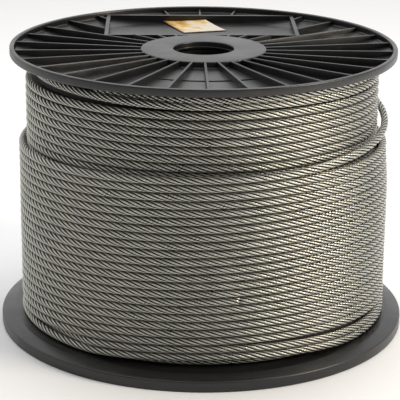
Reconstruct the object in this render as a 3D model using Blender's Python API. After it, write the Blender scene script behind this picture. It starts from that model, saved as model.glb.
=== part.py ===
# Reel of steel wire rope, standing on its larger flange with its axis upright.
# Units are metres, +Z is up, and the origin is the centre of the standing face.
import math

import bmesh
import bpy
from mathutils import Matrix, Vector

# Driving dimensions of the reel
overall_height = 0.186
top_flange_radius = 0.125
bottom_flange_radius = 0.134
top_rim_height = 0.005
bottom_rim_height = 0.0068
rim_wall = 0.003
rim_lip = 0.0007
top_web_depth = 0.0072
bottom_web_depth = 0.0078
web_thickness = 0.0012
top_cone_width = 0.022
bottom_cone_width = 0.0085
hub_radius = 0.0407
hub_recess = 0.003
bore_radius = 0.0197
rib_count = 30
rib_thickness = 0.002
rib_drop_at_hub = 0.0002
rib_drop_at_rim = 0.0018
ribs_behind_recess = 3

# Driving dimensions of the barrel between the flanges
barrel_radius = 0.041
barrel_wall = 0.003
sleeve_radius = 0.0192
sleeve_wall = 0.003
barrel_web_count = 6
barrel_web_thickness = 0.0022

# Driving dimensions of the label recess on the top flange
recess_width = 0.126
recess_back = 0.101
recess_wall = 0.0025

# Driving dimensions of the long curved slot and the pin holes in the top flange's web
slot_radius = 0.0746
slot_width = 0.0026
slot_start_degrees = -114.4
slot_end_degrees = -63.6
slot_taper_degrees = 9.0
slot_tip_share = 0.4
slot_steps = 14
pin_circle_radius = 0.0785
pin_hole_radius = 0.0012
pin_hole_degrees = (-154.0, -140.0, -50.8, -37.8, -23.7)
pin_hole_sides = 8

# Driving dimensions of the label. Each corner is seen from above, as its place along X
# and its distance in front of the recess's back wall; the back edge leans up the wall.
label_thickness = 0.0003
label_lift_left = 0.0009
label_lift_right = 0.0020
label_front_left = (-0.0119, 0.0367)
label_front_right = (0.0177, 0.0279)
label_back_right = (0.0038, 0.0012)
label_back_left = (-0.0259, 0.0012)

# Driving dimensions of the wound rope
rope_diameter = 0.005
turn_pitch = 0.0051
full_layer_radius = 0.1203
step_below_top = 0.0536
first_turn_gap = 0.0032
groove_depth = 0.0015

# Route of the last turn: angle from +X in degrees, rise of its centre line above the
# place where it would lie on the outer layer, and its distance off the layer below.
last_turn_route = [
    (-200.0, 0.0000, 0.0),
    (-186.0, 0.0000, 0.0),
    (-165.0, 0.0000, 0.0),
    (-136.0, 0.0004, 0.0),
    (-114.0, 0.0014, 0.0),
    (-90.0, 0.0025, 0.0),
    (-66.0, 0.0036, 0.0),
    (-52.0, 0.0048, 0.0),
    (-38.0, 0.0070, 0.0),
    (-24.0, 0.0088, 0.0),
    (-10.0, 0.0106, 0.0006),
    (2.0, 0.0134, 0.0008),
    (14.0, 0.0172, 0.0003),
    (30.0, 0.0222, 0.0),
    (55.0, 0.0272, 0.0),
    (80.0, 0.0312, 0.0),
    (104.0, 0.0342, 0.0),
]

# Clearances and mesh fineness
seat_gap = 0.0003
union_overlap = 0.0006
round_segments = 60
coil_segments = 48
tube_steps_per_span = 4

# Heights that follow from the driving dimensions
top_web_floor = overall_height - top_web_depth
top_inner_face = top_web_floor - web_thickness
bottom_web_floor = bottom_web_depth
bottom_inner_face = bottom_web_floor + web_thickness
step_height = top_inner_face - step_below_top
under_layer_radius = full_layer_radius - rope_diameter


def clear_scene():
    for old in list(bpy.data.objects):
        bpy.data.objects.remove(old, do_unlink=True)


def plain_material(name, colour, roughness, metallic):
    material = bpy.data.materials.new(name)
    material.use_nodes = True
    shader = material.node_tree.nodes["Principled BSDF"]
    shader.inputs["Base Color"].default_value = (*colour, 1.0)
    shader.inputs["Roughness"].default_value = roughness
    shader.inputs["Metallic"].default_value = metallic
    material.diffuse_color = (*colour, 1.0)
    return material


def add_object(name, mesh, material=None):
    obj = bpy.data.objects.new(name, mesh)
    bpy.context.scene.collection.objects.link(obj)
    if material:
        mesh.materials.append(material)
    return obj


def turned_mesh(name, profile, segments):
    """Turn a closed profile of (radius, height) points about the Z axis."""
    bm = bmesh.new()
    rings = []
    for step in range(segments):
        angle = 2 * math.pi * step / segments
        ring = []
        for radius, height in profile:
            place = (radius * math.cos(angle), radius * math.sin(angle), height)
            ring.append(bm.verts.new(place))
        rings.append(ring)
    for step in range(segments):
        here = rings[step]
        there = rings[(step + 1) % segments]
        for index in range(len(profile)):
            after = (index + 1) % len(profile)
            bm.faces.new((here[index], there[index], there[after], here[after]))
    bmesh.ops.recalc_face_normals(bm, faces=bm.faces)
    mesh = bpy.data.meshes.new(name)
    bm.to_mesh(mesh)
    bm.free()
    return mesh


def add_prism(bm, outline, low, high):
    """Add an upright prism over a plan outline; high may differ from corner to corner."""
    highs = high if isinstance(high, (list, tuple)) else [high] * len(outline)
    lows = low if isinstance(low, (list, tuple)) else [low] * len(outline)
    bottom = [bm.verts.new((x, y, z)) for (x, y), z in zip(outline, lows)]
    top = [bm.verts.new((x, y, z)) for (x, y), z in zip(outline, highs)]
    faces = [bm.faces.new(list(reversed(bottom))), bm.faces.new(top)]
    count = len(outline)
    for index in range(count):
        after = (index + 1) % count
        faces.append(bm.faces.new((bottom[index], bottom[after], top[after], top[index])))
    return faces


def mesh_of(name, build):
    """Make a mesh from prisms that the build function adds."""
    bm = bmesh.new()
    build(bm)
    bmesh.ops.recalc_face_normals(bm, faces=bm.faces)
    mesh = bpy.data.meshes.new(name)
    bm.to_mesh(mesh)
    bm.free()
    return mesh


def rotated(points, angle):
    cosine = math.cos(angle)
    sine = math.sin(angle)
    return [(x * cosine - y * sine, x * sine + y * cosine) for x, y in points]


def combine(target, tool, operation):
    """Apply a Boolean with the tool object, then remove the tool."""
    modifier = target.modifiers.new(operation.lower(), "BOOLEAN")
    modifier.operation = operation
    modifier.solver = "EXACT"
    modifier.use_self = operation == "UNION"
    modifier.object = tool
    bpy.context.view_layer.update()
    graph = bpy.context.evaluated_depsgraph_get()
    result = bpy.data.meshes.new_from_object(target.evaluated_get(graph))
    target.modifiers.remove(modifier)
    old = target.data
    target.data = result
    bpy.data.meshes.remove(old)
    bpy.data.objects.remove(tool, do_unlink=True)


def smooth_round_faces(mesh, limit_degrees=30.0):
    mesh.shade_smooth()
    mesh.set_sharp_from_angle(angle=math.radians(limit_degrees))


def flange_profile(radius, rim_height, web_depth, cone_width):
    """Section of a flange lying outer side up, with its rim's top edge at height 0."""
    floor = -web_depth
    inner = floor - web_thickness
    cone_start = radius - cone_width
    rim_inside = radius - rim_wall
    floor_at_rim = web_middle_at_rim(rim_height, web_depth, cone_width) + web_thickness / 2
    return [
        (bore_radius, inner),
        (cone_start, inner),
        (radius - rim_lip, -rim_height),
        (radius, -rim_height + rim_lip),
        (radius, -rim_lip),
        (radius - rim_lip, 0.0),
        (rim_inside + rim_lip, 0.0),
        (rim_inside, -rim_lip),
        (rim_inside, floor_at_rim),
        (cone_start, floor),
        (hub_radius, floor),
        (hub_radius, -hub_recess - rim_lip),
        (hub_radius - rim_lip, -hub_recess),
        (bore_radius + rim_lip, -hub_recess),
        (bore_radius, -hub_recess - rim_lip),
    ]


def web_middle_at_rim(rim_height, web_depth, cone_width):
    """Height of the middle of the coned web where it meets the rim's inner side."""
    rise = (web_depth + web_thickness - rim_height) * (1 - rim_wall / cone_width)
    return -web_depth - web_thickness / 2 + rise


def rib_angles():
    """One rib points to the front, and the others follow at equal steps."""
    return [-math.pi / 2 + 2 * math.pi * index / rib_count for index in range(rib_count)]


def stops_at_recess(angle):
    """True for a rib that meets the recess beside the middle ones and isn't taken up behind."""
    offset = abs(math.remainder(angle - math.pi / 2, 2 * math.pi))
    middle_ribs = (ribs_behind_recess / 2) * 2 * math.pi / rib_count
    corner = math.atan2(recess_width / 2, recess_back)
    return middle_ribs < offset < corner


def rib_section(radius, rim_height, web_depth, cone_width, is_short):
    """Side view of a rib as (distance from the axis, height), from the hub outwards."""
    inside = hub_radius - union_overlap
    outside = radius - rim_wall + union_overlap
    floor = -web_depth - union_overlap
    near_end = [(inside, rib_top_at(inside, radius)), (inside, floor)]
    if is_short:
        return near_end + [(recess_back, floor), (recess_back, rib_top_at(recess_back, radius))]
    return near_end + [
        (radius - cone_width, floor),
        (outside, web_middle_at_rim(rim_height, web_depth, cone_width)),
        (outside, rib_top_at(outside, radius)),
    ]


def add_ribs(bm, radius, rim_height, web_depth, cone_width, with_recess):
    """Radial ribs from the hub to the rim; their tops rise outwards with the dished flange."""
    half = rib_thickness / 2
    for angle in rib_angles():
        is_short = with_recess and stops_at_recess(angle)
        section = rib_section(radius, rim_height, web_depth, cone_width, is_short)
        sides = []
        for offset in (-half, half):
            plan = rotated([(distance, offset) for distance, height in section], angle)
            side = [bm.verts.new((x, y, row[1])) for (x, y), row in zip(plan, section)]
            sides.append(side)
        bm.faces.new(sides[0])
        bm.faces.new(list(reversed(sides[1])))
        for index in range(len(section)):
            after = (index + 1) % len(section)
            bm.faces.new((sides[0][after], sides[0][index], sides[1][index], sides[1][after]))


def rib_top_at(distance, radius):
    """Height of the ribs' top edges at a distance from the axis."""
    at_hub = -hub_recess - rib_drop_at_hub
    share = (distance - hub_radius) / (radius - rim_wall - hub_radius)
    return at_hub + share * (-rib_drop_at_rim - at_hub)


def recess_outlines():
    """Plan outline of the label recess: its clear inside, and the outside of its walls."""
    half = recess_width / 2
    front = hub_radius + recess_wall
    inside = [(-half, front), (half, front), (half, recess_back), (-half, recess_back)]
    out = half + recess_wall
    back = recess_back + recess_wall
    outside = [(-out, hub_radius), (out, hub_radius), (out, back), (-out, back)]
    return inside, outside


def add_recess_walls(bm, radius, web_depth):
    """A frame of four walls that follows the height of the ribs around it."""
    inside, outside = recess_outlines()
    low = -web_depth - union_overlap
    walls = []
    for index in range(4):
        after = (index + 1) % 4
        corners = [outside[index], outside[after], inside[after], inside[index]]
        walls.append(corners)
    front_height = rib_top_at(hub_radius, radius)
    back_height = rib_top_at(recess_back, radius)
    for corners in walls:
        tops = []
        for x, y in corners:
            share = (y - hub_radius) / (recess_back + recess_wall - hub_radius)
            tops.append(front_height + share * (back_height - front_height))
        add_prism(bm, corners, low, tops)


def space_above_web(radius, rim_height, web_depth, cone_width):
    """A turned solid from the middle of the web upwards, out to the middle of the rim."""
    low = -web_depth - union_overlap
    outside = radius - rim_wall + union_overlap
    profile = [
        (bore_radius, low), (radius - cone_width, low),
        (outside, web_middle_at_rim(rim_height, web_depth, cone_width)),
        (outside, web_depth), (bore_radius, web_depth),
    ]
    return add_object("space", turned_mesh("space", profile, round_segments))


def slot_outline():
    """Plan outline of the curved slot, which narrows towards both ends."""
    inner = []
    outer = []
    for step in range(slot_steps + 1):
        share = step / slot_steps
        degrees = slot_start_degrees + share * (slot_end_degrees - slot_start_degrees)
        to_end = min(degrees - slot_start_degrees, slot_end_degrees - degrees)
        fullness = min(1.0, to_end / slot_taper_degrees)
        half = slot_width / 2 * (slot_tip_share + (1 - slot_tip_share) * fullness)
        angle = math.radians(degrees)
        for row, distance in ((inner, slot_radius - half), (outer, slot_radius + half)):
            row.append((distance * math.cos(angle), distance * math.sin(angle)))
    return inner + outer[::-1]


def pin_outlines():
    """Plan outlines of the pin holes beside the slot."""
    outlines = []
    for degrees in pin_hole_degrees:
        angle = math.radians(degrees)
        middle = (pin_circle_radius * math.cos(angle), pin_circle_radius * math.sin(angle))
        outline = []
        for side in range(pin_hole_sides):
            turn = 2 * math.pi * side / pin_hole_sides
            x = middle[0] + pin_hole_radius * math.cos(turn)
            y = middle[1] + pin_hole_radius * math.sin(turn)
            outline.append((x, y))
        outlines.append(outline)
    return outlines


def cut_web(flange, web_depth):
    """Cut the slot and the pin holes right through the flange's web."""
    low = -web_depth - 2 * web_thickness
    high = -web_depth + web_thickness

    def add_cutters(bm):
        for outline in [slot_outline()] + pin_outlines():
            add_prism(bm, outline, low, high)

    combine(flange, add_object("cutters", mesh_of("cutters", add_cutters)), "DIFFERENCE")


def build_flange(name, radius, rim_height, web_depth, cone_width, with_recess, material):
    profile = flange_profile(radius, rim_height, web_depth, cone_width)
    flange = add_object(name, turned_mesh(name, profile, round_segments), material)

    def add_flange_ribs(bm):
        add_ribs(bm, radius, rim_height, web_depth, cone_width, with_recess)

    ribs_mesh = mesh_of("ribs", add_flange_ribs)
    ribs = add_object("ribs", ribs_mesh)
    if with_recess:
        cut_web(flange, web_depth)
        inside, outside = recess_outlines()
        margin = web_depth
        cutter_mesh = mesh_of(
            "cutter", lambda bm: add_prism(bm, outside, -web_depth - margin, margin)
        )
        combine(ribs, add_object("cutter", cutter_mesh), "DIFFERENCE")
        frame_mesh = mesh_of("frame", lambda bm: add_recess_walls(bm, radius, web_depth))
        frame = add_object("frame", frame_mesh)
        space = space_above_web(radius, rim_height, web_depth, cone_width)
        combine(frame, space, "INTERSECT")
        combine(flange, frame, "UNION")
    combine(flange, ribs, "UNION")
    return flange


def build_top_flange(material):
    flange = build_flange(
        "top_flange", top_flange_radius, top_rim_height, top_web_depth, top_cone_width,
        True, material,
    )
    flange.data.transform(Matrix.Translation((0.0, 0.0, overall_height)))
    smooth_round_faces(flange.data)
    return flange


def build_bottom_flange(material):
    flange = build_flange(
        "bottom_flange", bottom_flange_radius, bottom_rim_height, bottom_web_depth,
        bottom_cone_width, False, material,
    )
    flange.data.transform(Matrix.Rotation(math.pi, 4, "Y"))
    smooth_round_faces(flange.data)
    return flange


def build_barrel(material):
    """A tube and a spindle sleeve joined by flat webs, open at both ends."""
    low = bottom_inner_face + seat_gap
    high = top_inner_face - seat_gap
    tube_inside = barrel_radius - barrel_wall
    sleeve_outside = sleeve_radius + sleeve_wall
    tube_profile = [
        (tube_inside, low), (barrel_radius, low), (barrel_radius, high), (tube_inside, high)
    ]
    sleeve_profile = [
        (sleeve_radius, low), (sleeve_outside, low), (sleeve_outside, high),
        (sleeve_radius, high),
    ]
    barrel = add_object(
        "barrel", turned_mesh("barrel", tube_profile, round_segments), material
    )
    sleeve = add_object("sleeve", turned_mesh("sleeve", sleeve_profile, round_segments))
    half = barrel_web_thickness / 2
    inside = sleeve_outside - union_overlap
    outside = tube_inside + union_overlap
    outline = [(inside, -half), (outside, -half), (outside, half), (inside, half)]

    def add_webs(bm):
        for index in range(barrel_web_count):
            angle = 2 * math.pi * (index + 0.5) / barrel_web_count
            add_prism(bm, rotated(outline, angle), low + union_overlap, high - union_overlap)

    webs = add_object("webs", mesh_of("webs", add_webs))
    combine(webs, sleeve, "UNION")
    combine(barrel, webs, "UNION")
    smooth_round_faces(barrel.data)
    return barrel


def coil_profile():
    """Section of the wound pack: the under layer shows below and above the full layer."""
    low = bottom_inner_face + seat_gap
    high = top_inner_face - seat_gap
    inside = barrel_radius + seat_gap
    full_layer_low = bottom_inner_face + first_turn_gap
    crests = [(inside, low)]

    def add_turns(radius, start, end):
        count = max(1, round((end - start) / turn_pitch))
        pitch = (end - start) / count
        for index in range(count):
            middle = start + (index + 0.5) * pitch
            crests.append((radius - groove_depth, start + index * pitch))
            crests.append((radius, middle))
        crests.append((radius - groove_depth, end))

    crests.append((under_layer_radius - groove_depth, low))
    crests.append((under_layer_radius - groove_depth, full_layer_low))
    add_turns(full_layer_radius, full_layer_low, step_height)
    add_turns(under_layer_radius, step_height, high)
    crests.append((inside, high))
    return crests


def build_rope_coil(material):
    mesh = turned_mesh("rope_coil", coil_profile(), coil_segments)
    smooth_round_faces(mesh, 20.0)
    return add_object("rope_coil", mesh, material)


def last_turn_points():
    """Smooth points of the last turn's centre line, through the points of its route."""
    lying_radius = under_layer_radius + seat_gap + rope_diameter / 2
    lying_height = step_height + seat_gap + rope_diameter / 2
    knots = [Vector((angle, rise, off)) for angle, rise, off in last_turn_route]
    knots = [2 * knots[0] - knots[1]] + knots + [2 * knots[-1] - knots[-2]]
    points = []
    for index in range(1, len(knots) - 2):
        before, start, end, after = knots[index - 1:index + 3]
        for step in range(tube_steps_per_span):
            t = step / tube_steps_per_span
            points.append(0.5 * (
                2 * start + (end - before) * t
                + (2 * before - 5 * start + 4 * end - after) * t * t
                + (3 * start - 3 * end + after - before) * t * t * t
            ))
    points.append(knots[-2])
    places = []
    for angle, rise, off in points:
        radius = lying_radius + off
        turn = math.radians(angle)
        height = lying_height + max(rise, 0.0)
        places.append((radius * math.cos(turn), radius * math.sin(turn), height))
    return places


def build_last_turn(material):
    """The end of the rope: a tube that lies on the pack and climbs over it at the right."""
    places = last_turn_points()
    curve = bpy.data.curves.new("rope_last_turn", "CURVE")
    curve.dimensions = "3D"
    curve.bevel_depth = rope_diameter / 2
    curve.bevel_resolution = 2
    curve.use_fill_caps = True
    spline = curve.splines.new("POLY")
    spline.points.add(len(places) - 1)
    for point, place in zip(spline.points, places):
        point.co = (*place, 1.0)
    curve.materials.append(material)
    return add_object("rope_last_turn", curve)


def build_label(material):
    """A paper sticker on the recess floor, its back edge a little raised."""
    places = [label_front_left, label_front_right, label_back_right, label_back_left]
    corners = [(x, recess_back - distance) for x, distance in places]
    lifts = [0.0, 0.0, label_lift_right, label_lift_left]
    lows = [top_web_floor + seat_gap + lift for lift in lifts]
    highs = [height + label_thickness for height in lows]
    mesh = mesh_of("label", lambda bm: add_prism(bm, corners, lows, highs))
    return add_object("label", mesh, material)


def main():
    clear_scene()
    plastic = plain_material("moulded_plastic", (0.030, 0.031, 0.032), 0.5, 0.0)
    barrel_plastic = plain_material("barrel_plastic", (0.020, 0.020, 0.021), 0.6, 0.0)
    steel = plain_material("galvanised_rope", (0.30, 0.30, 0.28), 0.45, 1.0)
    end_steel = plain_material("galvanised_rope_end", (0.36, 0.36, 0.34), 0.45, 1.0)
    paper = plain_material("label_paper", (0.86, 0.68, 0.30), 0.7, 0.0)
    build_bottom_flange(plastic)
    build_barrel(barrel_plastic)
    build_rope_coil(steel)
    build_last_turn(end_steel)
    build_top_flange(plastic)
    build_label(paper)


main()
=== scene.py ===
import math

import bmesh
import bpy
from mathutils import Matrix, Vector, noise


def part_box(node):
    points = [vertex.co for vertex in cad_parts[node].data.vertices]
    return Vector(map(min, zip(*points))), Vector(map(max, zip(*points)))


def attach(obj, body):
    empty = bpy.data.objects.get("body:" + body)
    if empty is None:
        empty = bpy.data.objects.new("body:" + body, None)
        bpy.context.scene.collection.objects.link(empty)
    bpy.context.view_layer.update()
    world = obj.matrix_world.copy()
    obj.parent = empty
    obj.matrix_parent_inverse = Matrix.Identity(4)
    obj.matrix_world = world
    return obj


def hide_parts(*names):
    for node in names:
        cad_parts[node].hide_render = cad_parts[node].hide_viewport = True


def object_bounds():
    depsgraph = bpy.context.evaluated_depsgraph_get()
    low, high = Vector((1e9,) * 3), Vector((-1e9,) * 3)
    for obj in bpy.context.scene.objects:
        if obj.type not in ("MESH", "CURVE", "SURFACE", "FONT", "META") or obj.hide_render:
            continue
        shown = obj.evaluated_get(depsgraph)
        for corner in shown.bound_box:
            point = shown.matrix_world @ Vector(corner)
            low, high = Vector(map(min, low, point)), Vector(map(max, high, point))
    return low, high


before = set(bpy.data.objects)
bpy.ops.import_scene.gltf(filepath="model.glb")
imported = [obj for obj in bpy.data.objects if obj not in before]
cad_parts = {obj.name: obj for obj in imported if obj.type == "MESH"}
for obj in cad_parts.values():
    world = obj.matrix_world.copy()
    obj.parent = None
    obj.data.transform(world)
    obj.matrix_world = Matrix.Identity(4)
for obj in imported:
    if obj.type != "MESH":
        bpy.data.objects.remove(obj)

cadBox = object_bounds()     # the solids' own box, before anything is added

# Galvanised wire rope wound on a black moulded reel, which stands on its larger flange.
# Metres, +Z up along the reel's axis; the label recess is at the back (+Y).


# Small helpers

def deselectAll():
    for thing in bpy.context.selected_objects:
        thing.select_set(False)


def makeActive(piece):
    deselectAll()
    piece.select_set(True)
    bpy.context.view_layer.objects.active = piece


def enterEdit(piece, selectMode="VERT"):
    makeActive(piece)
    bpy.ops.object.mode_set(mode="EDIT")
    bpy.ops.mesh.select_mode(type=selectMode)
    bpy.ops.mesh.select_all(action="SELECT")


def leaveEdit():
    bpy.ops.object.mode_set(mode="OBJECT")


def applyModifier(piece, kind, **settings):
    makeActive(piece)
    modifier = piece.modifiers.new(kind.lower(), kind)
    for name, value in settings.items():
        setattr(modifier, name, value)
    bpy.ops.object.modifier_apply(modifier=modifier.name)


def combine(piece, tool, operation, selfTouch=False):
    applyModifier(piece, "BOOLEAN", operation=operation, object=tool, solver="EXACT",
                  use_self=selfTouch)
    bpy.data.objects.remove(tool, do_unlink=True)


def joinPieces(pieces):
    deselectAll()
    for piece in pieces:
        piece.select_set(True)
    bpy.context.view_layer.objects.active = pieces[0]
    bpy.ops.object.join()
    return pieces[0]


def copyPiece(piece, name):
    twin = piece.copy()
    twin.data = piece.data.copy()
    twin.name = name
    bpy.context.scene.collection.objects.link(twin)
    return twin


def turnPiece(piece, angle, axis="Z"):
    piece.data.transform(Matrix.Rotation(angle, 4, axis))


def smoothByAngle(piece, degrees=32):
    makeActive(piece)
    bpy.ops.object.shade_smooth_by_angle(angle=math.radians(degrees))


def dressPiece(piece, name, material, nodes=()):
    piece.name = name
    piece.data.name = name
    piece.data.materials.clear()
    piece.data.materials.append(material)
    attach(piece, "root")
    if nodes:
        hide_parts(*nodes)
    return piece


def srgb(hexText):
    channels = [int(hexText[start:start + 2], 16) / 255 for start in (1, 3, 5)]
    linear = [c / 12.92 if c <= 0.04045 else ((c + 0.055) / 1.055) ** 2.4 for c in channels]
    return (*linear, 1.0)


def newMaterial(name):
    material = bpy.data.materials.new(name)
    material.use_nodes = True
    return material, material.node_tree, material.node_tree.nodes["Principled BSDF"]


def addNode(tree, kind, settings=None, inputs=None):
    node = tree.nodes.new(kind)
    for name, value in (settings or {}).items():
        setattr(node, name, value)
    for name, value in (inputs or {}).items():
        if isinstance(value, bpy.types.NodeSocket):
            tree.links.new(value, node.inputs[name])
        else:
            node.inputs[name].default_value = value
    return node


def ramp(tree, source, stops):
    node = addNode(tree, "ShaderNodeValToRGB", inputs={"Fac": source})
    while len(node.color_ramp.elements) < len(stops):
        node.color_ramp.elements.new(1.0)
    for element, (place, colour) in zip(node.color_ramp.elements, stops):
        element.position = place
        element.color = colour
    return node.outputs["Color"]


def greyLevel(value):
    return (value, value, value, 1.0)


# Materials

def mouldedPlastic():
    # High-impact polystyrene, injection moulded in black: satin, with a fine etched grain,
    # soft flow variation and pale scuffs where the reel has been handled.
    look = {
        "blackHex": "#0e0e0f", "scuffHex": "#3c3c3c", "dustHex": "#191919",
        "roughness": 0.32, "grainMm": 0.35, "flowMm": 28.0, "scuffMm": 6.0,
        "sinkShadeAndSeamHex": "#050505", "ribs": 30, "sinkShare": 0.022, "sinkLow": 0.0062,
        "sinkHigh": 0.0094, "partingHalf": 0.00022, "partingLow": 0.1826,
    }
    material, tree, shader = newMaterial("blackMouldedPolystyrene")
    place = addNode(tree, "ShaderNodeTexCoord").outputs["Object"]
    flow = addNode(tree, "ShaderNodeTexNoise", inputs={
        "Vector": place, "Scale": 1000 / look["flowMm"], "Detail": 3.0})
    grain = addNode(tree, "ShaderNodeTexNoise", inputs={
        "Vector": place, "Scale": 1000 / look["grainMm"], "Detail": 2.0})
    stretched = addNode(tree, "ShaderNodeMapping", inputs={
        "Vector": place, "Rotation": (0.3, 0.0, 0.7), "Scale": (1.0, 7.0, 3.0)})
    scuffNoise = addNode(tree, "ShaderNodeTexNoise", inputs={
        "Vector": stretched.outputs["Vector"], "Scale": 1000 / look["scuffMm"] / 4,
        "Detail": 5.0, "Roughness": 0.65})
    scuffs = ramp(tree, scuffNoise.outputs["Fac"], [
        (0.60, greyLevel(0.0)), (0.72, greyLevel(0.35))])
    dust = ramp(tree, flow.outputs["Fac"], [(0.40, greyLevel(0.0)), (0.75, greyLevel(0.3))])
    dusty = addNode(tree, "ShaderNodeMixRGB", inputs={
        "Fac": dust, "Color1": srgb(look["blackHex"]), "Color2": srgb(look["dustHex"])})
    scuffed = addNode(tree, "ShaderNodeMixRGB", inputs={
        "Fac": scuffs, "Color1": dusty.outputs["Color"], "Color2": srgb(look["scuffHex"])})
    # Sink marks run across the inner face of the bottom flange, opposite each rib, and a
    # parting line crosses the top hub disc. Both are pressed in by a bump; the sink marks are
    # also painted darker as painted shade in the dents, and the parting line is a dark seam.
    parts = addNode(tree, "ShaderNodeSeparateXYZ", inputs={"Vector": place})
    around = addNode(tree, "ShaderNodeMath", {"operation": "ARCTAN2"}, {
        0: parts.outputs["Y"], 1: parts.outputs["X"]})
    ribPhase = addNode(tree, "ShaderNodeMath", {"operation": "MULTIPLY_ADD"}, {
        0: around.outputs["Value"], 1: look["ribs"] / math.tau, 2: look["ribs"] / 4})
    toRib = addNode(tree, "ShaderNodeMath", {"operation": "PINGPONG"}, {
        0: ribPhase.outputs["Value"], 1: 0.5})
    nearRib = addNode(tree, "ShaderNodeMath", {"operation": "LESS_THAN"}, {
        0: toRib.outputs["Value"], 1: look["sinkShare"]})
    sinkBand = addNode(tree, "ShaderNodeMath", {"operation": "COMPARE"}, {
        0: parts.outputs["Z"], 1: (look["sinkLow"] + look["sinkHigh"]) / 2,
        2: (look["sinkHigh"] - look["sinkLow"]) / 2})
    sink = addNode(tree, "ShaderNodeMath", {"operation": "MULTIPLY"}, {
        0: nearRib.outputs["Value"], 1: sinkBand.outputs["Value"]})
    onParting = addNode(tree, "ShaderNodeMath", {"operation": "COMPARE"}, {
        0: parts.outputs["Y"], 1: 0.0, 2: look["partingHalf"]})
    aboveHub = addNode(tree, "ShaderNodeMath", {"operation": "GREATER_THAN"}, {
        0: parts.outputs["Z"], 1: look["partingLow"]})
    parting = addNode(tree, "ShaderNodeMath", {"operation": "MULTIPLY"}, {
        0: onParting.outputs["Value"], 1: aboveHub.outputs["Value"]})
    marks = addNode(tree, "ShaderNodeMath", {"operation": "MAXIMUM"}, {
        0: sink.outputs["Value"], 1: parting.outputs["Value"]})
    # Painted shade in the sink-mark dents, and the dark parting seam.
    marked = addNode(tree, "ShaderNodeMixRGB", inputs={
        "Fac": marks.outputs["Value"], "Color1": scuffed.outputs["Color"],
        "Color2": srgb(look["sinkShadeAndSeamHex"])})
    tree.links.new(marked.outputs["Color"], shader.inputs["Base Color"])
    rough = addNode(tree, "ShaderNodeMapRange", inputs={
        "Value": flow.outputs["Fac"], "From Min": 0.3, "From Max": 0.7,
        "To Min": look["roughness"] - 0.05, "To Max": look["roughness"] + 0.08})
    tree.links.new(rough.outputs["Result"], shader.inputs["Roughness"])
    bump = addNode(tree, "ShaderNodeBump", inputs={
        "Height": grain.outputs["Fac"], "Strength": 0.12, "Distance": 0.0002})
    markBump = addNode(tree, "ShaderNodeBump", {"invert": True}, {
        "Height": marks.outputs["Value"], "Strength": 0.6, "Distance": 0.0003,
        "Normal": bump.outputs["Normal"]})
    tree.links.new(markBump.outputs["Normal"], shader.inputs["Normal"])
    shader.inputs["IOR"].default_value = 1.58
    return material


def galvanisedWire():
    # Hot-dip galvanised steel wire, drawn and stranded: dull zinc grey with painted shade in
    # the grooves between the strands, and fine wires that catch the light.
    look = {
        "zincHex": "#aeada6", "paleHex": "#d2d1c6", "grooveShadeHex": "#050504",
        "roughness": 0.32, "wiresRound": 22, "strands": 6, "patchMm": 9.0,
    }
    material, tree, shader = newMaterial("galvanisedStrandedWire")
    uv = addNode(tree, "ShaderNodeTexCoord").outputs["UV"]
    place = addNode(tree, "ShaderNodeTexCoord").outputs["Object"]
    parts = addNode(tree, "ShaderNodeSeparateXYZ", inputs={"Vector": uv})
    # U is the angle round the rope in turns, V the length in lays: U - V follows a strand.
    strandPhase = addNode(tree, "ShaderNodeMath", {"operation": "SUBTRACT"}, {
        0: parts.outputs["X"], 1: parts.outputs["Y"]})
    strandAngle = addNode(tree, "ShaderNodeMath", {"operation": "MULTIPLY"}, {
        0: strandPhase.outputs["Value"], 1: math.tau * look["strands"]})
    strandWave = addNode(tree, "ShaderNodeMath", {"operation": "COSINE"}, {
        0: strandAngle.outputs["Value"]})
    strandLevel = addNode(tree, "ShaderNodeMapRange", inputs={
        "Value": strandWave.outputs["Value"], "From Min": -1.0, "From Max": 1.0})
    # Painted shade: the grooves between the strands are darkened almost to black.
    paintedGrooveShade = ramp(tree, strandLevel.outputs["Result"], [
        (0.0, greyLevel(1.0)), (0.24, greyLevel(0.96)), (0.52, greyLevel(0.0))])
    wireAngle = addNode(tree, "ShaderNodeMath", {"operation": "MULTIPLY"}, {
        0: parts.outputs["X"], 1: math.tau * look["wiresRound"]})
    wireWave = addNode(tree, "ShaderNodeMath", {"operation": "SINE"}, {
        0: wireAngle.outputs["Value"]})
    patches = addNode(tree, "ShaderNodeTexNoise", inputs={
        "Vector": place, "Scale": 1000 / look["patchMm"], "Detail": 4.0})
    zinc = addNode(tree, "ShaderNodeMixRGB", inputs={
        "Fac": patches.outputs["Fac"], "Color1": srgb(look["zincHex"]),
        "Color2": srgb(look["paleHex"])})
    grooveShaded = addNode(tree, "ShaderNodeMixRGB", inputs={
        "Fac": paintedGrooveShade, "Color1": zinc.outputs["Color"], "Color2": srgb(look["grooveShadeHex"])})
    tree.links.new(grooveShaded.outputs["Color"], shader.inputs["Base Color"])
    shader.inputs["Metallic"].default_value = 1.0
    rough = addNode(tree, "ShaderNodeMapRange", inputs={
        "Value": patches.outputs["Fac"], "From Min": 0.3, "From Max": 0.7,
        "To Min": look["roughness"] - 0.06, "To Max": look["roughness"] + 0.10})
    tree.links.new(rough.outputs["Result"], shader.inputs["Roughness"])
    bump = addNode(tree, "ShaderNodeBump", inputs={
        "Height": wireWave.outputs["Value"], "Strength": 0.5, "Distance": 0.0001})
    tree.links.new(bump.outputs["Normal"], shader.inputs["Normal"])
    return material


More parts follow.
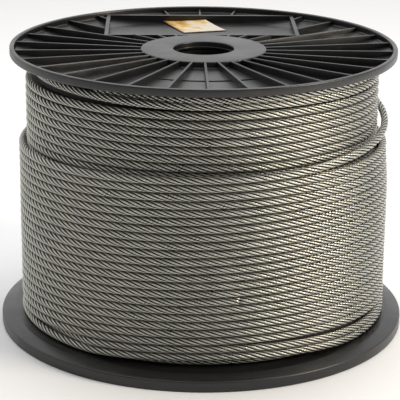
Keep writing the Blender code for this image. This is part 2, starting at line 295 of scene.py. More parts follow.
def shadedInnerSteel():
    # The turns of the layers below, in the dark between the visible turns: grey steel painted
    # dark as shade.
    look = {"shadeHex": "#2a2925", "liftHex": "#3b3a35", "roughness": 0.6, "patchMm": 4.0}
    material, tree, shader = newMaterial("innerTurnsPaintedShade")
    place = addNode(tree, "ShaderNodeTexCoord").outputs["Object"]
    patches = addNode(tree, "ShaderNodeTexNoise", inputs={
        "Vector": place, "Scale": 1000 / look["patchMm"], "Detail": 3.0})
    mixed = addNode(tree, "ShaderNodeMixRGB", inputs={
        "Fac": patches.outputs["Fac"], "Color1": srgb(look["shadeHex"]),
        "Color2": srgb(look["liftHex"])})
    tree.links.new(mixed.outputs["Color"], shader.inputs["Base Color"])
    shader.inputs["Metallic"].default_value = 0.6
    shader.inputs["Roughness"].default_value = look["roughness"]
    return material


def labelPaper():
    # Coated label paper, printed in soft orange and yellow on cream, faded and a little glossy;
    # a thin brown line runs along two edges.
    look = {"creamHex": "#cac2b2", "orangeHex": "#a9762c", "yellowHex": "#cbac66",
            "lineHex": "#5a3c10", "line": 0.05, "patches": 4.2, "backLeftInk": 0.30,
            "roughness": 0.42}
    material, tree, shader = newMaterial("printedLabelPaper")
    uv = addNode(tree, "ShaderNodeTexCoord").outputs["UV"]
    parts = addNode(tree, "ShaderNodeSeparateXYZ", inputs={"Vector": uv})
    cloud = addNode(tree, "ShaderNodeTexNoise", inputs={
        "Vector": uv, "Scale": look["patches"], "Detail": 2.0})
    # The print is strongest at the back left corner.
    backLeft = addNode(tree, "ShaderNodeMath", {"operation": "SUBTRACT"}, {
        0: parts.outputs["Y"], 1: parts.outputs["X"]})
    inkLevel = addNode(tree, "ShaderNodeMath", {"operation": "MULTIPLY_ADD"}, {
        0: backLeft.outputs["Value"], 1: look["backLeftInk"], 2: cloud.outputs["Fac"]})
    ink = ramp(tree, inkLevel.outputs["Value"], [
        (0.42, srgb(look["creamHex"])), (0.56, srgb(look["yellowHex"])),
        (0.74, srgb(look["orangeHex"]))])
    nearest = addNode(tree, "ShaderNodeMath", {"operation": "MINIMUM"}, {
        0: parts.outputs["X"], 1: parts.outputs["Y"]})
    lineMask = ramp(tree, nearest.outputs["Value"], [
        (look["line"] * 0.6, greyLevel(0.8)), (look["line"], greyLevel(0.0))])
    printed = addNode(tree, "ShaderNodeMixRGB", inputs={
        "Fac": lineMask, "Color1": ink, "Color2": srgb(look["lineHex"])})
    tree.links.new(printed.outputs["Color"], shader.inputs["Base Color"])
    shader.inputs["Roughness"].default_value = look["roughness"]
    return material


# Turned shapes

def filletCorners(points, radius, steps=4):
    # Each corner of a closed section is rounded with a small curve.
    rounded = []
    count = len(points)
    for index in range(count):
        corner = Vector(points[index])
        before = Vector(points[index - 1]) - corner
        after = Vector(points[(index + 1) % count]) - corner
        reach = min(radius, before.length * 0.45, after.length * 0.45)
        start = corner + before.normalized() * reach
        end = corner + after.normalized() * reach
        for step in range(steps + 1):
            t = step / steps
            rounded.append((1 - t) ** 2 * start + 2 * t * (1 - t) * corner + t * t * end)
    return rounded


def drawOutline(name, corners):
    # One vertex is drawn out from corner to corner, and the loop is closed with an edge.
    deselectAll()
    bpy.ops.mesh.primitive_plane_add(size=0.001)
    piece = bpy.context.object
    piece.name = name
    enterEdit(piece)
    bpy.ops.mesh.merge(type="CENTER")
    bpy.ops.transform.translate(value=corners[0])
    for here, there in zip(corners, corners[1:]):
        move = tuple(b - a for a, b in zip(here, there))
        bpy.ops.mesh.extrude_region_move(TRANSFORM_OT_translate={"value": move})
    edited = bmesh.from_edit_mesh(piece.data)
    for vertex in edited.verts:
        vertex.select = len(vertex.link_edges) < 2
    bmesh.update_edit_mesh(piece.data)
    bpy.ops.mesh.edge_face_add()
    leaveEdit()
    return piece


def turnedPiece(name, section, steps):
    # A closed section of (radius, height) points is spun once about the reel's axis.
    piece = drawOutline(name, [(radius, 0.0, height) for radius, height in section])
    enterEdit(piece)
    bpy.ops.mesh.spin(steps=steps, angle=math.tau, center=(0, 0, 0), axis=(0, 0, 1))
    bpy.ops.mesh.select_all(action="SELECT")
    bpy.ops.mesh.remove_doubles(threshold=0.000002)
    bpy.ops.mesh.normals_make_consistent(inside=False)
    leaveEdit()
    return piece


# Flanges, each drawn with its outer side up and its rim's top edge at height 0

flangeSizes = {
    "rimWall": 0.003, "webThickness": 0.0012, "lip": 0.0009, "turnSteps": 180,
    "hubRadius": 0.0407, "hubRecess": 0.003, "boreRadius": 0.0197,
    "boreLedge": 0.0004, "ledgeDepth": 0.0035,
    "ribCount": 30, "ribThickness": 0.0019, "ribDraft": 0.0002, "ribEdge": 0.0004,
    "ribDropAtHub": 0.0002, "ribDropAtRim": 0.0018,
    "sink": 0.0004, "cutReach": 0.02, "overlap": 0.001,
}
topFlangeSizes = {
    "rimHeight": 0.005, "webDepth": 0.0072, "coneWidth": 0.022, "hasRecess": True,
}
bottomFlangeSizes = {
    "rimHeight": 0.0068, "webDepth": 0.0078, "coneWidth": 0.0085, "hasRecess": False,
}

# The top flange has a walled recess for the label at the back. Its front web has one long
# curved slot and small pin holes. The slot cutter's foot is given in depths of the web.
recessSizes = {"width": 0.126, "back": 0.101, "wall": 0.0025, "ribsBehind": 3}
slotSizes = {
    "radius": 0.0746, "width": 0.0032, "fromDegrees": -114.4, "toDegrees": -63.6,
    "taperDegrees": 9.0, "tipShare": 0.08, "tipPower": 0.6, "footDepths": 1.6, "steps": 48,
}
pinSizes = {
    "radius": 0.0785, "hole": 0.0012, "sides": 20,
    "degrees": (-154.0, -140.0, -50.8, -37.8, -23.7),
}


def flangeSection(radius, rimHeight, webDepth, coneWidth):
    s = flangeSizes
    inner = -webDepth - s["webThickness"]
    coneStart = radius - coneWidth
    inside = radius - s["rimWall"]
    rise = (-rimHeight - inner) * (1 - s["rimWall"] / coneWidth)
    ledge = s["boreRadius"] - s["boreLedge"]
    ledgeTop = -s["hubRecess"] - s["ledgeDepth"]
    points = [
        (ledge, inner), (coneStart, inner), (radius, -rimHeight), (radius, 0.0),
        (inside, 0.0), (inside, -webDepth + rise), (coneStart, -webDepth),
        (s["hubRadius"], -webDepth), (s["hubRadius"], -s["hubRecess"]),
        (s["boreRadius"], -s["hubRecess"]), (s["boreRadius"], ledgeTop), (ledge, ledgeTop),
    ]
    return filletCorners(points, s["lip"])


def ribTop(distance, radius):
    s = flangeSizes
    share = (distance - s["hubRadius"]) / (radius - s["rimWall"] - s["hubRadius"])
    atHub = -s["hubRecess"] - s["ribDropAtHub"]
    return atHub + share * (-s["ribDropAtRim"] - atHub)


def makeRib(radius, webDepth, coneWidth, webRise):
    # A cube is stretched to the rib, sloped with the dished flange, drafted and rounded.
    s = flangeSizes
    low = -webDepth - s["sink"]
    near = s["hubRadius"] - s["sink"] * 2
    far = radius - s["rimWall"] + s["sink"]
    deselectAll()
    bpy.ops.mesh.primitive_cube_add(size=1.0, location=((near + far) / 2, 0, -0.5))
    rib = bpy.context.object
    rib.scale = (far - near, s["ribThickness"], 1.0)
    bpy.ops.object.transform_apply(location=True, rotation=True, scale=True)
    enterEdit(rib)
    edited = bmesh.from_edit_mesh(rib.data)
    for vertex in edited.verts:
        outward = vertex.co.x > (near + far) / 2
        if vertex.co.z > -0.5:
            vertex.co.z = ribTop(far if outward else near, radius)
            vertex.co.y -= math.copysign(s["ribDraft"], vertex.co.y)
        else:
            vertex.co.z = low
    bmesh.update_edit_mesh(rib.data)
    # The foot follows the coned web up to the rim
    bpy.ops.mesh.bisect(plane_co=(radius - coneWidth, 0, 0), plane_no=(1, 0, 0))
    edited = bmesh.from_edit_mesh(rib.data)
    for vertex in edited.verts:
        if vertex.co.x > far - 0.0001 and vertex.co.z < low + 0.0001:
            vertex.co.z = low + webRise
    for edge in edited.edges:
        high = all(v.co.z > ribTop(v.co.x, radius) - 0.0002 for v in edge.verts)
        edge.select = high and abs(edge.verts[0].co.x - edge.verts[1].co.x) > 0.001
    bmesh.update_edit_mesh(rib.data)
    bpy.ops.mesh.bevel(offset=s["ribEdge"], segments=3)
    leaveEdit()
    return rib


def makeRibs(radius, webDepth, coneWidth, webRise):
    s = flangeSizes
    model = makeRib(radius, webDepth, coneWidth, webRise)
    ribs = []
    for index in range(s["ribCount"]):
        rib = copyPiece(model, f"rib{index}")
        turnPiece(rib, -math.pi / 2 + math.tau * index / s["ribCount"])
        ribs.append(rib)
    bpy.data.objects.remove(model, do_unlink=True)
    return joinPieces(ribs)


def makeBox(low, high):
    deselectAll()
    middle = [(a + b) / 2 for a, b in zip(low, high)]
    bpy.ops.mesh.primitive_cube_add(size=1.0, location=middle)
    box = bpy.context.object
    box.scale = [b - a for a, b in zip(low, high)]
    bpy.ops.object.transform_apply(location=True, rotation=True, scale=True)
    return box


def makeRecessFrame(radius, webDepth):
    # A block is inset from above and pushed through, which leaves four walls.
    s = flangeSizes
    r = recessSizes
    half = r["width"] / 2 + r["wall"]
    back = r["back"] + r["wall"]
    low = -webDepth - s["sink"]
    walls = makeBox((-half, s["hubRadius"], low), (half, back, -s["hubRecess"]))
    enterEdit(walls, "FACE")
    for side in (1, -1):
        edited = bmesh.from_edit_mesh(walls.data)
        edited.normal_update()
        for face in edited.faces:
            face.select = face.normal.z * side > 0.9
        bmesh.update_edit_mesh(walls.data)
        bpy.ops.mesh.inset(thickness=r["wall"], use_even_offset=True)
    edited = bmesh.from_edit_mesh(walls.data)
    for face in edited.faces:
        middle = face.calc_center_median()
        level = abs(face.normal.z) > 0.9
        spans = face.calc_area() > r["width"] * (r["back"] - s["hubRadius"]) * 0.8
        face.select = level and spans and abs(middle.x) < 0.001
    bmesh.update_edit_mesh(walls.data)
    bpy.ops.mesh.bridge_edge_loops()
    edited = bmesh.from_edit_mesh(walls.data)
    for vertex in edited.verts:
        if vertex.co.z > low + 0.001:
            share = (vertex.co.y - s["hubRadius"]) / (back - s["hubRadius"])
            front = ribTop(s["hubRadius"], radius)
            vertex.co.z = front + share * (ribTop(r["back"], radius) - front)
    bmesh.update_edit_mesh(walls.data)
    bpy.ops.mesh.select_all(action="SELECT")
    bpy.ops.mesh.normals_make_consistent(inside=False)
    leaveEdit()
    return walls


def makeSlotCutter(depth):
    # A curved slot with pointed ends is drawn flat below the web and pushed up through it.
    s = slotSizes
    inner, outer = [], []
    for step in range(s["steps"] + 1):
        degrees = s["fromDegrees"] + (s["toDegrees"] - s["fromDegrees"]) * step / s["steps"]
        toEnd = min(degrees - s["fromDegrees"], s["toDegrees"] - degrees)
        share = min(1.0, s["tipShare"] + toEnd / s["taperDegrees"])
        half = s["width"] / 2 * share ** s["tipPower"]
        turn = math.radians(degrees)
        for row, out in ((inner, s["radius"] - half), (outer, s["radius"] + half)):
            row.append((out * math.cos(turn), out * math.sin(turn), -depth * s["footDepths"]))
    cutter = drawOutline("slot", inner + outer[::-1])
    enterEdit(cutter)
    bpy.ops.mesh.edge_face_add()
    bpy.ops.mesh.extrude_region_move(TRANSFORM_OT_translate={"value": (0, 0, depth)})
    bpy.ops.mesh.select_all(action="SELECT")
    bpy.ops.mesh.normals_make_consistent(inside=False)
    leaveEdit()
    return cutter


def makePinCutters(depth):
    pins = []
    for degrees in pinSizes["degrees"]:
        turn = math.radians(degrees)
        place = (pinSizes["radius"] * math.cos(turn), pinSizes["radius"] * math.sin(turn),
                 -depth - flangeSizes["webThickness"] / 2)
        deselectAll()
        bpy.ops.mesh.primitive_cylinder_add(
            vertices=pinSizes["sides"], radius=pinSizes["hole"],
            depth=flangeSizes["webThickness"] * 3, location=place)
        bpy.ops.object.transform_apply(location=True, rotation=True, scale=True)
        pins.append(bpy.context.object)
    return joinPieces(pins)


def makeFlange(name, radius, rimHeight, webDepth, coneWidth, hasRecess):
    s = flangeSizes
    section = flangeSection(radius, rimHeight, webDepth, coneWidth)
    flange = turnedPiece(name, section, s["turnSteps"])
    webRise = (webDepth + s["webThickness"] - rimHeight) * (1 - s["rimWall"] / coneWidth)
    ribs = makeRibs(radius, webDepth, coneWidth, webRise)
    if hasRecess:
        r = recessSizes
        half = r["width"] / 2 + r["wall"]
        back = r["back"] + r["wall"]
        reach = s["cutReach"]
        combine(flange, makeSlotCutter(webDepth), "DIFFERENCE")
        combine(flange, makePinCutters(webDepth), "DIFFERENCE")
        inRecess = makeBox((-half, s["hubRadius"], -reach), (half, back, reach))
        combine(ribs, inRecess, "DIFFERENCE")
        # Beside the middle ones, ribs that meet the recess aren't taken up behind it
        clear = math.tan(math.tau / s["ribCount"] * r["ribsBehind"] / 2) * back
        for side in (-1, 1):
            low, high = sorted((side * clear, side * (half + s["rimWall"] / 2)))
            behind = makeBox((low, back - s["overlap"], -reach), (high, radius, reach))
            combine(ribs, behind, "DIFFERENCE")
        walls = makeRecessFrame(radius, webDepth)
        combine(walls, makeSpaceAboveWeb(radius, webDepth, coneWidth, webRise), "INTERSECT")
        combine(flange, walls, "UNION")
    combine(flange, ribs, "UNION", selfTouch=True)
    return flange


def makeSpaceAboveWeb(radius, webDepth, coneWidth, webRise):
    # A turned solid keeps the recess's corners out of the coned web and inside the rim.
    s = flangeSizes
    low = -webDepth - s["sink"]
    out = radius - s["rimWall"] + s["sink"]
    section = [(s["boreRadius"], low), (radius - coneWidth, low), (out, low + webRise),
               (out, webDepth), (s["boreRadius"], webDepth)]
    return turnedPiece("space", section, s["turnSteps"])


# Wound rope

ropeSizes = {
    "diameter": 0.005, "lay": 0.0325, "strands": 6, "pointsPerStrand": 5,
    "stepsPerLay": 12, "pointsPerTurn": 120, "weld": 0.00005,
}


def lobeRadius(angle):
    # Six round strands stand round the core, each touching the next.
    strand = ropeSizes["diameter"] / 6
    ring = 2 * strand
    step = math.tau / ropeSizes["strands"]
    offset = (angle + step / 2) % step - step / 2
    return ring * math.cos(offset) + math.sqrt(strand ** 2 - (ring * math.sin(offset)) ** 2)


def sectionAngles():
    # Points are even round each strand's own outer face, up to where it meets the next one.
    strand = ropeSizes["diameter"] / 6
    ring = 2 * strand
    count = ropeSizes["pointsPerStrand"]
    angles = []
    for index in range(ropeSizes["strands"]):
        middle = math.tau * index / ropeSizes["strands"]
        for step in range(count):
            swing = math.radians(-120 + 240 * step / count)
            across = strand * math.sin(swing)
            out = ring + strand * math.cos(swing)
            angles.append(middle + math.atan2(across, out))
    return angles


def makeLay(lay):
    # One lay of rope: a circle is pressed to the six-lobed section and swept by a Screw.
    angles = sectionAngles()
    deselectAll()
    bpy.ops.mesh.primitive_circle_add(vertices=len(angles), radius=1.0)
    piece = bpy.context.object
    for vertex, angle in zip(piece.data.vertices, angles):
        out = lobeRadius(angle)
        vertex.co = (0.0, out * math.cos(angle), out * math.sin(angle))
    steps = ropeSizes["stepsPerLay"]
    applyModifier(piece, "SCREW", axis="X", angle=math.tau, screw_offset=lay, steps=steps,
                  render_steps=steps, use_merge_vertices=False, use_smooth_shade=True)
    while piece.data.uv_layers:
        piece.data.uv_layers.remove(piece.data.uv_layers[0])
    layer = piece.data.uv_layers.new(name="ropeUV")
    for face in piece.data.polygons:
        corners = [piece.data.vertices[v].co for v in face.vertices]
        turns = [math.atan2(co.z, co.y) / math.tau for co in corners]
        first = turns[0]
        for loop, turn, co in zip(face.loop_indices, turns, corners):
            near = turn - round(turn - first)
            layer.data[loop].uv = (near, co.x / lay)
    return piece


def pathLength(points):
    return sum((b - a).length for a, b in zip(points, points[1:]))


def makeRope(name, points):
    # The lay is repeated along X by an Array and bent onto the path by a Curve modifier.
    length = pathLength(points)
    count = max(1, round(length / ropeSizes["lay"]))
    piece = makeLay(length / count)
    curve = bpy.data.curves.new(name + "Path", "CURVE")
    curve.dimensions = "3D"
    curve.twist_mode = "Z_UP"
    spline = curve.splines.new("POLY")
    spline.points.add(len(points) - 1)
    for point, place in zip(spline.points, points):
        point.co = (*place, 1.0)
    guide = bpy.data.objects.new(name + "Path", curve)
    bpy.context.scene.collection.objects.link(guide)
    applyModifier(piece, "ARRAY", fit_type="FIXED_COUNT", count=count,
                  relative_offset_displace=(1.0, 0.0, 0.0), use_merge_vertices=True,
                  merge_threshold=ropeSizes["weld"])
    applyModifier(piece, "CURVE", object=guide, deform_axis="POS_X")
    bpy.data.objects.remove(guide, do_unlink=True)
    enterEdit(piece)
    bpy.ops.mesh.select_all(action="DESELECT")
    bpy.ops.mesh.select_non_manifold(extend=False, use_wire=False, use_multi_face=False,
                                     use_non_contiguous=False, use_verts=False)
    bpy.ops.mesh.edge_face_add()
    bpy.ops.mesh.select_all(action="SELECT")
    bpy.ops.mesh.normals_make_consistent(inside=False)
    leaveEdit()
    print(name, "length", round(length, 2), "m,", len(piece.data.polygons), "faces")
    return piece


# The outer layer climbs as it goes round, and its turns bow up at the front, where the rope
# crosses over from the layer below; the bow fades upwards. The layer below winds downwards,
# and its top turn comes up under the flange from one layer further in.
windingSizes = {
    "layerRadius": 0.1204, "pitch": 0.00511, "firstHeight": 0.01665, "turns": 22,
    "bow": 0.0027, "footBow": 0.0055, "bowFade": 0.035, "tilt": 0.0021,
    "startDegrees": -200.0, "diveDegrees": (105.0, 150.0), "leaveDegrees": -66.0,
    "footDrop": 0.0022, "dropSide": 0.8, "dropLevels": (0.0235, 0.0275), "flare": 0.0019,
    "flareHeights": (0.090, 0.128), "lieOnFlange": 0.0001, "wander": 0.00016, "wanderMm": 60.0,
    "seed": 3.0, "stretches": 3,
}
underSizes = {
    "pitch": 0.00527, "topHeight": 0.1717, "turns": 10, "bow": 0.0021, "tilt": 0.0008,
    "startDegrees": -222.0, "pressedDegrees": (-162.0, -92.0), "pressedUp": 0.0022,
    "pressedIn": 0.0042, "topGap": 0.0009, "offAxis": 0.0007, "seed": 11.0,
}
# One more turn lies in the flange's dished edge: it comes out of the dark left of the front
# and goes round the right side to the back, where it sinks in and the turn below takes it up.
edgeTurnSizes = {
    "fromDegrees": -128.0, "toDegrees": 138.0, "height": 0.1764, "fall": 0.0022,
    "emergeDegrees": (-122.0, -86.0), "inside": 0.0044, "sinkDegrees": (92.0, 136.0),
    "seed": 23.0,
}
# The layer below shows at its foot, where the first turn bows up at the front.
footTurnSizes = {"fromDegrees": -131.0, "toDegrees": 40.0, "seed": 19.0}


def wander(place, seed):
    scale = 1000 / windingSizes["wanderMm"]
    return noise.noise(Vector(place) * scale + Vector((seed, seed, seed)))


def smoothStep(value, start, end):
    share = min(max((value - start) / (end - start), 0.0), 1.0)
    return share * share * (3 - 2 * share)


def bowShare(degrees):
    # 0 at the front, 1 from the sides on round the back
    turn = math.radians(degrees)
    return math.cos(turn) ** 2 if math.sin(turn) < 0 else 1.0


def windPoints(first, last, placeAt, seed):
    # Points at even steps of angle; the rope wanders a little, as wound by a machine.
    steps = round((last - first) / 360 * ropeSizes["pointsPerTurn"])
    points = []
    for step in range(steps + 1):
        degrees = first + (last - first) * step / steps
        turn = math.radians(degrees)
        radius, height = placeAt(degrees)
        plain = (radius * math.cos(turn), radius * math.sin(turn), height * 3)
        radius += windingSizes["wander"] * wander(plain, seed)
        points.append(Vector((radius * math.cos(turn), radius * math.sin(turn), height)))
    return points


def outerTurnPoints(radius, floorHeight):
    # The first turn lies on the flange at both sides. At the left the second one sinks in
    # behind it. At the right both lie lower than the rest, and the pack is a little wider.
    w = windingSizes
    diameter = ropeSizes["diameter"]

    def heightAt(degrees):
        level = w["firstHeight"] + w["pitch"] * (degrees + 90.0) / 360.0
        bow = w["bow"] + w["footBow"] * math.exp((w["firstHeight"] - level) / w["bowFade"])
        rightwards = math.cos(math.radians(degrees))
        drop = w["footDrop"] * smoothStep(rightwards, 0.0, w["dropSide"])
        drop *= 1.0 - smoothStep(level, *w["dropLevels"])
        return max(level - bow * bowShare(degrees) + w["tilt"] * rightwards - drop, floorHeight)

    def placeAt(degrees):
        height = heightAt(degrees)
        rightwards = math.cos(math.radians(degrees))
        inside = diameter * smoothStep(degrees, *w["diveDegrees"])
        if degrees >= w["startDegrees"] + 360.0:
            below = heightAt(degrees - 360.0)
            if rightwards > 0.0:
                height = max(height, below + diameter)
            inside = math.sqrt(max(0.0, diameter ** 2 - (height - below) ** 2))
        flare = w["flare"] * max(0.0, rightwards) ** 2
        flare *= 1.0 - smoothStep(height, *w["flareHeights"])
        return radius + flare - inside, height

    last = w["leaveDegrees"] + 360.0 * w["turns"]
    return windPoints(w["startDegrees"], last, placeAt, w["seed"])


def underTurnPoints(radius):
    u = underSizes

    def placeAt(degrees):
        level = u["topHeight"] - u["pitch"] * (degrees + 90.0) / 360.0
        level += u["topGap"] * max(0.0, 1.0 - (degrees + 90.0) / 720.0)
        height = level - u["bow"] * bowShare(degrees)
        height += u["tilt"] * math.cos(math.radians(degrees))
        pressed = 1.0 - smoothStep(degrees, *u["pressedDegrees"])
        aside = u["offAxis"] * (1.0 + math.cos(math.radians(degrees)))
        return radius - aside - pressed * u["pressedIn"], height + pressed * u["pressedUp"]

    last = u["startDegrees"] + 360.0 * u["turns"]
    return windPoints(u["startDegrees"], last, placeAt, u["seed"])


def edgeTurnPoints(radius):
    e = edgeTurnSizes

    def placeAt(degrees):
        aside = underSizes["offAxis"] * (1.0 + math.cos(math.radians(degrees)))
        aside += e["inside"] * (1.0 - smoothStep(degrees, *e["emergeDegrees"]))
        aside += underSizes["pressedIn"] * smoothStep(degrees, *e["sinkDegrees"])
        fall = e["fall"] * smoothStep(degrees, -90.0, e["toDegrees"])
        return radius - aside, e["height"] - fall

    return windPoints(e["fromDegrees"], e["toDegrees"], placeAt, e["seed"])


def footTurnPoints(radius, height):
    f = footTurnSizes
    return windPoints(f["fromDegrees"], f["toDegrees"], lambda degrees: (radius, height),
                      f["seed"])


# The last turn once it leaves the layer: angle, height of its centre, and lift off the pack
lastTurnRoute = [
    (-66.0, 0.1300, 0.0), (-52.0, 0.1312, 0.0), (-38.0, 0.1330, 0.0),
    (-24.0, 0.1347, 0.0), (-10.0, 0.1370, 0.0006), (2.0, 0.1402, 0.0008),
    (14.0, 0.1440, 0.0003), (30.0, 0.1490, 0.0), (55.0, 0.1540, 0.0),
    (80.0, 0.1580, 0.0), (104.0, 0.1610, 0.0),
]


def lastTurnPoints(lyingRadius, startHeight):
    knots = [Vector(knot) for knot in lastTurnRoute]
    knots[0].y = startHeight
    knots = [2 * knots[0] - knots[1]] + knots + [2 * knots[-1] - knots[-2]]
    points = []
    stepsPerSpan = 8
    for index in range(1, len(knots) - 2):
        before, start, end, after = knots[index - 1:index + 3]
        for step in range(stepsPerSpan):
            t = step / stepsPerSpan
            points.append(0.5 * (
                2 * start + (end - before) * t
                + (2 * before - 5 * start + 4 * end - after) * t * t
                + (3 * start - 3 * end + after - before) * t * t * t))
    points.append(knots[-2])
    places = []
    for degrees, height, off in points:
        turn = math.radians(degrees)
        radius = lyingRadius + off
        places.append(Vector((radius * math.cos(turn), radius * math.sin(turn), height)))
    return places[1:]


def makeInnerTurns(low, high):
    # What shows dark between the turns: a plain turned backing inside both layers, its steel
    # painted dark as shade. Its depth and the heights of its steps are in rope diameters.
    backing = {"depth": 0.62, "foot": 2, "belowTop": 2.4, "topStep": 2, "gap": 0.0003,
               "corner": 0.0004, "cornerSteps": 2, "turnSteps": 120}
    w = windingSizes
    rope = ropeSizes["diameter"]
    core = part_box("barrel")[1].x + backing["gap"]
    full = w["layerRadius"] - rope * backing["depth"]
    under = full - rope
    foot = low + backing["foot"] * rope
    step = w["firstHeight"] + w["pitch"] * w["turns"] - backing["belowTop"] * rope
    topStep = high - backing["topStep"] * rope
    inmost = under - underSizes["pressedIn"]
    section = [(core, low), (under, low), (under, foot), (full, foot), (full, step),
               (under, step), (under, topStep), (inmost, topStep), (inmost, high), (core, high)]
    section = filletCorners(section, backing["corner"], backing["cornerSteps"])
    return turnedPiece("innerTurns", section, backing["turnSteps"])


# Label

def makeLabel():
    # A plane is cut finely, skewed to its four corners, curled a little and thickened.
    size = {"thickness": 0.00022, "curl": 0.0004, "liftLeft": 0.0009, "liftRight": 0.0020,
            "cuts": 16}
    corners = [Vector((-0.0119, 0.0643)), Vector((0.0177, 0.0731)),
               Vector((0.0038, 0.0998)), Vector((-0.0259, 0.0998))]
    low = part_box("label")[0].z
    deselectAll()
    bpy.ops.mesh.primitive_grid_add(x_subdivisions=size["cuts"], y_subdivisions=size["cuts"],
                                    size=1.0)
    piece = bpy.context.object
    for vertex in piece.data.vertices:
        u = vertex.co.x + 0.5
        v = vertex.co.y + 0.5
        front = corners[0].lerp(corners[1], u)
        back = corners[3].lerp(corners[2], u)
        place = front.lerp(back, v)
        lift = size["liftLeft"] + u * (size["liftRight"] - size["liftLeft"])
        height = low + lift * v ** 2 - size["curl"] * math.sin(math.pi * u) * v
        height = max(height, low)
        vertex.co = (place.x, place.y, height)
    applyModifier(piece, "SOLIDIFY", thickness=size["thickness"], offset=1.0)
    smoothByAngle(piece, 40)
    return piece


# Camera, lights and floor

def makeCamera():
    # The view is fitted to the outline of the top flange. Lengths are in radii of that flange,
    # angles in radians, and the centre and focal length in pixels of a 400 pixel frame.
    view = {
        "radius": 0.125, "distance": 8.5, "height": 1.8544, "pitch": 0.3079,
        "roll": 0.0093, "focalPixels": 1674.4, "imagePixels": 400,
        "centreX": 203.98, "centreY": 199.64, "side": 0.0088, "orbitDegrees": -1.6,
    }
    camera = bpy.data.objects.new("camera", bpy.data.cameras.new("camera"))
    bpy.context.scene.collection.objects.link(camera)
    scale = view["radius"]
    topHeight = cadBox[1].z
    place = Vector((view["side"] * scale, -view["distance"] * scale,
                    topHeight + view["height"] * scale))
    offX = (view["centreX"] - view["imagePixels"] / 2) / view["focalPixels"]
    offY = (view["centreY"] - view["imagePixels"] / 2) / view["focalPixels"]
    turn = (Matrix.Rotation(math.atan(offX), 4, "Z")
            @ Matrix.Rotation(math.pi / 2 - view["pitch"] + math.atan(offY), 4, "X")
            @ Matrix.Rotation(view["roll"], 4, "Z"))
    orbit = Matrix.Rotation(math.radians(view["orbitDegrees"]), 4, "Z")
    camera.matrix_world = orbit @ Matrix.Translation(place) @ turn
    camera.data.sensor_width = 36.0
    camera.data.lens = view["focalPixels"] / view["imagePixels"] * 36.0
    camera.data.clip_end = 20.0
    bpy.context.scene.camera = camera


def addAreaLight(name, place, target, width, height, power, colour):
    light = bpy.data.lights.new(name, "AREA")
    light.shape = "RECTANGLE"
    light.size = width
    light.size_y = height
    light.energy = power
    light.color = srgb(colour)[:3]
    lamp = bpy.data.objects.new(name, light)
    lamp.location = place
    lamp.rotation_euler = (Vector(target) - Vector(place)).to_track_quat("-Z", "Y").to_euler()
    bpy.context.scene.collection.objects.link(lamp)


def makeStudio():
    # A white room: pale floor, soft surroundings, one soft box at the right and one above.
    deselectAll()
    bpy.ops.mesh.primitive_circle_add(vertices=96, radius=4.0, fill_type="NGON")
    floor = bpy.context.object
    floor.name = "studioFloor"
    material, tree, shader = newMaterial("paleStudioFloor")
    shader.inputs["Base Color"].default_value = srgb("#f6f6f6")
    shader.inputs["Roughness"].default_value = 0.9
    floor.data.materials.append(material)
    # The room is bright behind the reel and dimmer on the camera's side
    look = {"frontLevel": 0.22, "backLevel": 1.0, "frontReach": -0.6, "backReach": 0.85}
    world = bpy.data.worlds.new("studio")
    world.use_nodes = True
    tree = world.node_tree
    direction = addNode(tree, "ShaderNodeTexCoord").outputs["Generated"]
    parts = addNode(tree, "ShaderNodeSeparateXYZ", inputs={"Vector": direction})
    level = addNode(tree, "ShaderNodeMapRange", inputs={
        "Value": parts.outputs["Y"], "From Min": look["frontReach"],
        "From Max": look["backReach"], "To Min": look["frontLevel"],
        "To Max": look["backLevel"]})
    seen = addNode(tree, "ShaderNodeLightPath").outputs["Is Camera Ray"]
    strength = addNode(tree, "ShaderNodeMath", {"operation": "MAXIMUM"}, {
        0: level.outputs["Result"], 1: seen})
    background = tree.nodes["Background"]
    background.inputs["Color"].default_value = srgb("#ffffff")
    tree.links.new(strength.outputs["Value"], background.inputs["Strength"])
    bpy.context.scene.world = world
    bpy.context.scene.view_settings.view_transform = "Standard"
    addAreaLight("softBoxRight", (1.1, -0.5, 0.7), (0, 0, 0.1), 0.5, 0.5, 12, "#fff4e2")
    addAreaLight("softBoxTop", (0.0, 0.3, 1.6), (0, 0, 0.0), 1.4, 1.4, 16, "#ffffff")


# Build the reel

makeCamera()
makeStudio()
print("camera and studio ready")

plastic = mouldedPlastic()
wire = galvanisedWire()
shade = shadedInnerSteel()
paper = labelPaper()

topLow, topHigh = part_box("top_flange")
bottomLow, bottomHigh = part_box("bottom_flange")

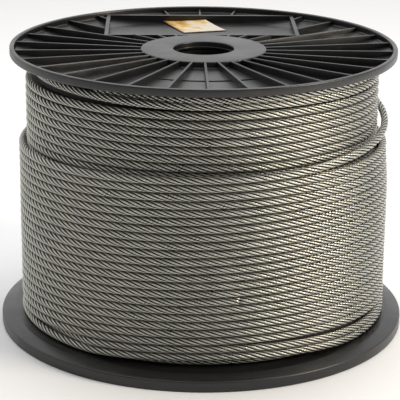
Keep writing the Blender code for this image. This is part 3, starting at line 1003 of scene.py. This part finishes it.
topFlange = makeFlange("topFlangeMoulding", topHigh.x, **topFlangeSizes)
topFlange.data.transform(Matrix.Translation((0, 0, topHigh.z)))
smoothByAngle(topFlange)
dressPiece(topFlange, "topFlangeMoulding", plastic, ["top_flange"])
print("top flange moulded")

bottomFlange = makeFlange("bottomFlangeMoulding", bottomHigh.x, **bottomFlangeSizes)
turnPiece(bottomFlange, math.pi, "Y")
smoothByAngle(bottomFlange)
dressPiece(bottomFlange, "bottomFlangeMoulding", plastic, ["bottom_flange"])
print("bottom flange moulded")

coilLow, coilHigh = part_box("rope_coil")
half = ropeSizes["diameter"] / 2
outerCentre = windingSizes["layerRadius"] - half
underCentre = outerCentre - ropeSizes["diameter"]
onFlange = coilLow.z + windingSizes["lieOnFlange"] + half

# The last three eighths of a turn go with the piece that stands for the last turn
wound = outerTurnPoints(outerCentre, onFlange)
lastStretch = ropeSizes["pointsPerTurn"] * 3 // 8
lastWound = wound[-lastStretch:] + lastTurnPoints(outerCentre, wound[-1].z)
wound = wound[:-lastStretch + 1]
stretches = windingSizes["stretches"]
share = len(wound) // stretches
for index in range(stretches):
    last = len(wound) if index == stretches - 1 else (index + 1) * share + 1
    stretch = makeRope(f"outerTurns{index + 1}", wound[index * share:last])
    dressPiece(stretch, f"outerTurns{index + 1}", wire,
               ["rope_coil"] if index == 0 else [])

upper = makeRope("upperTurns", underTurnPoints(underCentre))
dressPiece(upper, "upperTurns", wire)

edge = makeRope("edgeTurn", edgeTurnPoints(underCentre))
dressPiece(edge, "edgeTurn", wire)

foot = makeRope("footTurn", footTurnPoints(underCentre, onFlange))
dressPiece(foot, "footTurn", wire)

lastTurn = makeRope("lastTurn", lastWound)
dressPiece(lastTurn, "lastTurn", wire, ["rope_last_turn"])

inner = makeInnerTurns(coilLow.z, coilHigh.z)
smoothByAngle(inner)
dressPiece(inner, "innerTurns", shade)
print("rope wound")

label = makeLabel()
dressPiece(label, "label", paper, ["label"])

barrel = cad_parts["barrel"]
barrel.data.materials.clear()
barrel.data.materials.append(plastic)
print("label and barrel dressed")
